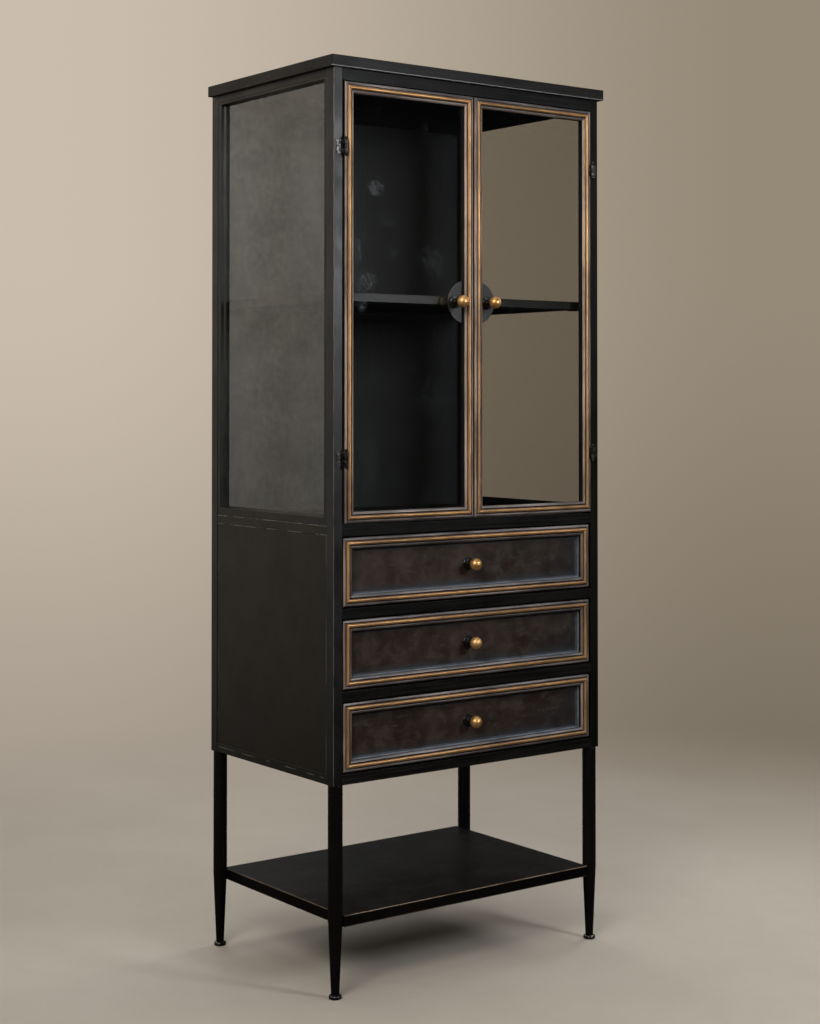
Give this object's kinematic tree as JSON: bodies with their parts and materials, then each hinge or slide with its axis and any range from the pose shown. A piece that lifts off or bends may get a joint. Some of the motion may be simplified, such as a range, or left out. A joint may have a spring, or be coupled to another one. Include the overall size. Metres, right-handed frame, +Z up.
{
  "type": "apothecary cabinet",
  "caption": "Tall free-standing metal display cabinet with two glazed doors over drawers, glass sides, an interior shelf, tapered round legs and an open bottom shelf.",
  "frame": {"origin": "on the floor, under the middle of the overall box (the front door knobs are part of the box, so the middle of the case itself lies about 16 mm behind the origin)", "axes": "+X to the right as seen from the front, the front faces -Y, +Z up"},
  "size_m": [0.7, 0.4874, 1.8],
  "materials": {
    "black_paint": "worn satin black paint with lighter rubbed edges",
    "brown_black_paint": "aged brown-black paint, faintly streaked",
    "leg_enamel": "semi-gloss black enamel",
    "glide_steel": "dark polished steel",
    "clear_glass": "clear glass with faint smudges",
    "bronze_rubbed_moulding": "dark moulding with bronze rubbed ridges and pale worn outer beads",
    "mottled_panel": "mottled brown-black patina with blue-grey worn edges",
    "knob_brass": "polished golden brass",
    "knob_black": "gloss black",
    "plate_dark": "satin dark grey-brown",
    "bright_steel": "zinc plated",
    "hinge_steel": "blackened steel, worn bright",
    "tray_paint": "plain black paint"
  },
  "bodies": {
    "cabinet": {"post_front_left": "black_paint", "post_front_right": "black_paint", "post_back_left": "black_paint", "post_back_right": "black_paint", "leg_front_left": "leg_enamel", "leg_front_right": "leg_enamel", "leg_back_left": "leg_enamel", "leg_back_right": "leg_enamel", "foot_glides": "glide_steel", "top_board": "black_paint", "front_rails": "black_paint", "drawer_dividers": "black_paint", "side_rails": "black_paint", "back_rails": "black_paint", "back_panel": "black_paint", "side_glass_left": "clear_glass", "side_glass_right": "clear_glass", "glazing_frame_left": "black_paint", "glazing_frame_right": "black_paint", "side_panel_left": "brown_black_paint", "side_panel_right": "brown_black_paint", "cabinet_floor": "black_paint", "case_bottom": "black_paint", "interior_shelf": "black_paint", "shelf_brackets": "black_paint", "bottom_shelf": "black_paint", "bottom_shelf_screws": "bright_steel", "drawer_runners": "bright_steel", "hinge_post_leaves": "hinge_steel", "hinge_pins": "hinge_steel", "door_catches": "black_paint"},
    "left_door": {"door_left_frame": "bronze_rubbed_moulding", "door_left_glass": "clear_glass", "door_left_glass_beads": "black_paint", "door_left_knob_plate": "plate_dark", "door_left_knob_base": "knob_black", "door_left_knob": "knob_brass", "door_left_knob_nut": "bright_steel", "door_left_hinge_knuckles": "hinge_steel"},
    "right_door": {"door_right_frame": "bronze_rubbed_moulding", "door_right_glass": "clear_glass", "door_right_glass_beads": "black_paint", "door_right_knob_plate": "plate_dark", "door_right_knob_base": "knob_black", "door_right_knob": "knob_brass", "door_right_knob_nut": "bright_steel", "door_right_hinge_knuckles": "hinge_steel"},
    "drawer_1": {"drawer_1_front_frame": "bronze_rubbed_moulding", "drawer_1_front_panel": "mottled_panel", "drawer_1_box": "tray_paint", "drawer_1_knob_base": "knob_black", "drawer_1_knob": "knob_brass"},
    "drawer_2": {"drawer_2_front_frame": "bronze_rubbed_moulding", "drawer_2_front_panel": "mottled_panel", "drawer_2_box": "tray_paint", "drawer_2_knob_base": "knob_black", "drawer_2_knob": "knob_brass"},
    "drawer_3": {"drawer_3_front_frame": "bronze_rubbed_moulding", "drawer_3_front_panel": "mottled_panel", "drawer_3_box": "tray_paint", "drawer_3_knob_base": "knob_black", "drawer_3_knob": "knob_brass"}
  },
  "joints": [
    {"name": "left_door_hinge", "type": "hinge", "parent": "cabinet", "child": "left_door", "pos_m": [-0.317, -0.22005, 1.327], "axis": [0, 0, -1], "range_deg": [0, 165]},
    {"name": "right_door_hinge", "type": "hinge", "parent": "cabinet", "child": "right_door", "pos_m": [0.317, -0.22005, 1.327], "axis": [0, 0, 1], "range_deg": [0, 165]},
    {"name": "drawer_1_slide", "type": "slide", "parent": "cabinet", "child": "drawer_1", "axis": [0, -1, 0], "range_m": [0, 0.31]},
    {"name": "drawer_2_slide", "type": "slide", "parent": "cabinet", "child": "drawer_2", "axis": [0, -1, 0], "range_m": [0, 0.31]},
    {"name": "drawer_3_slide", "type": "slide", "parent": "cabinet", "child": "drawer_3", "axis": [0, -1, 0], "range_m": [0, 0.31]}
  ]
}
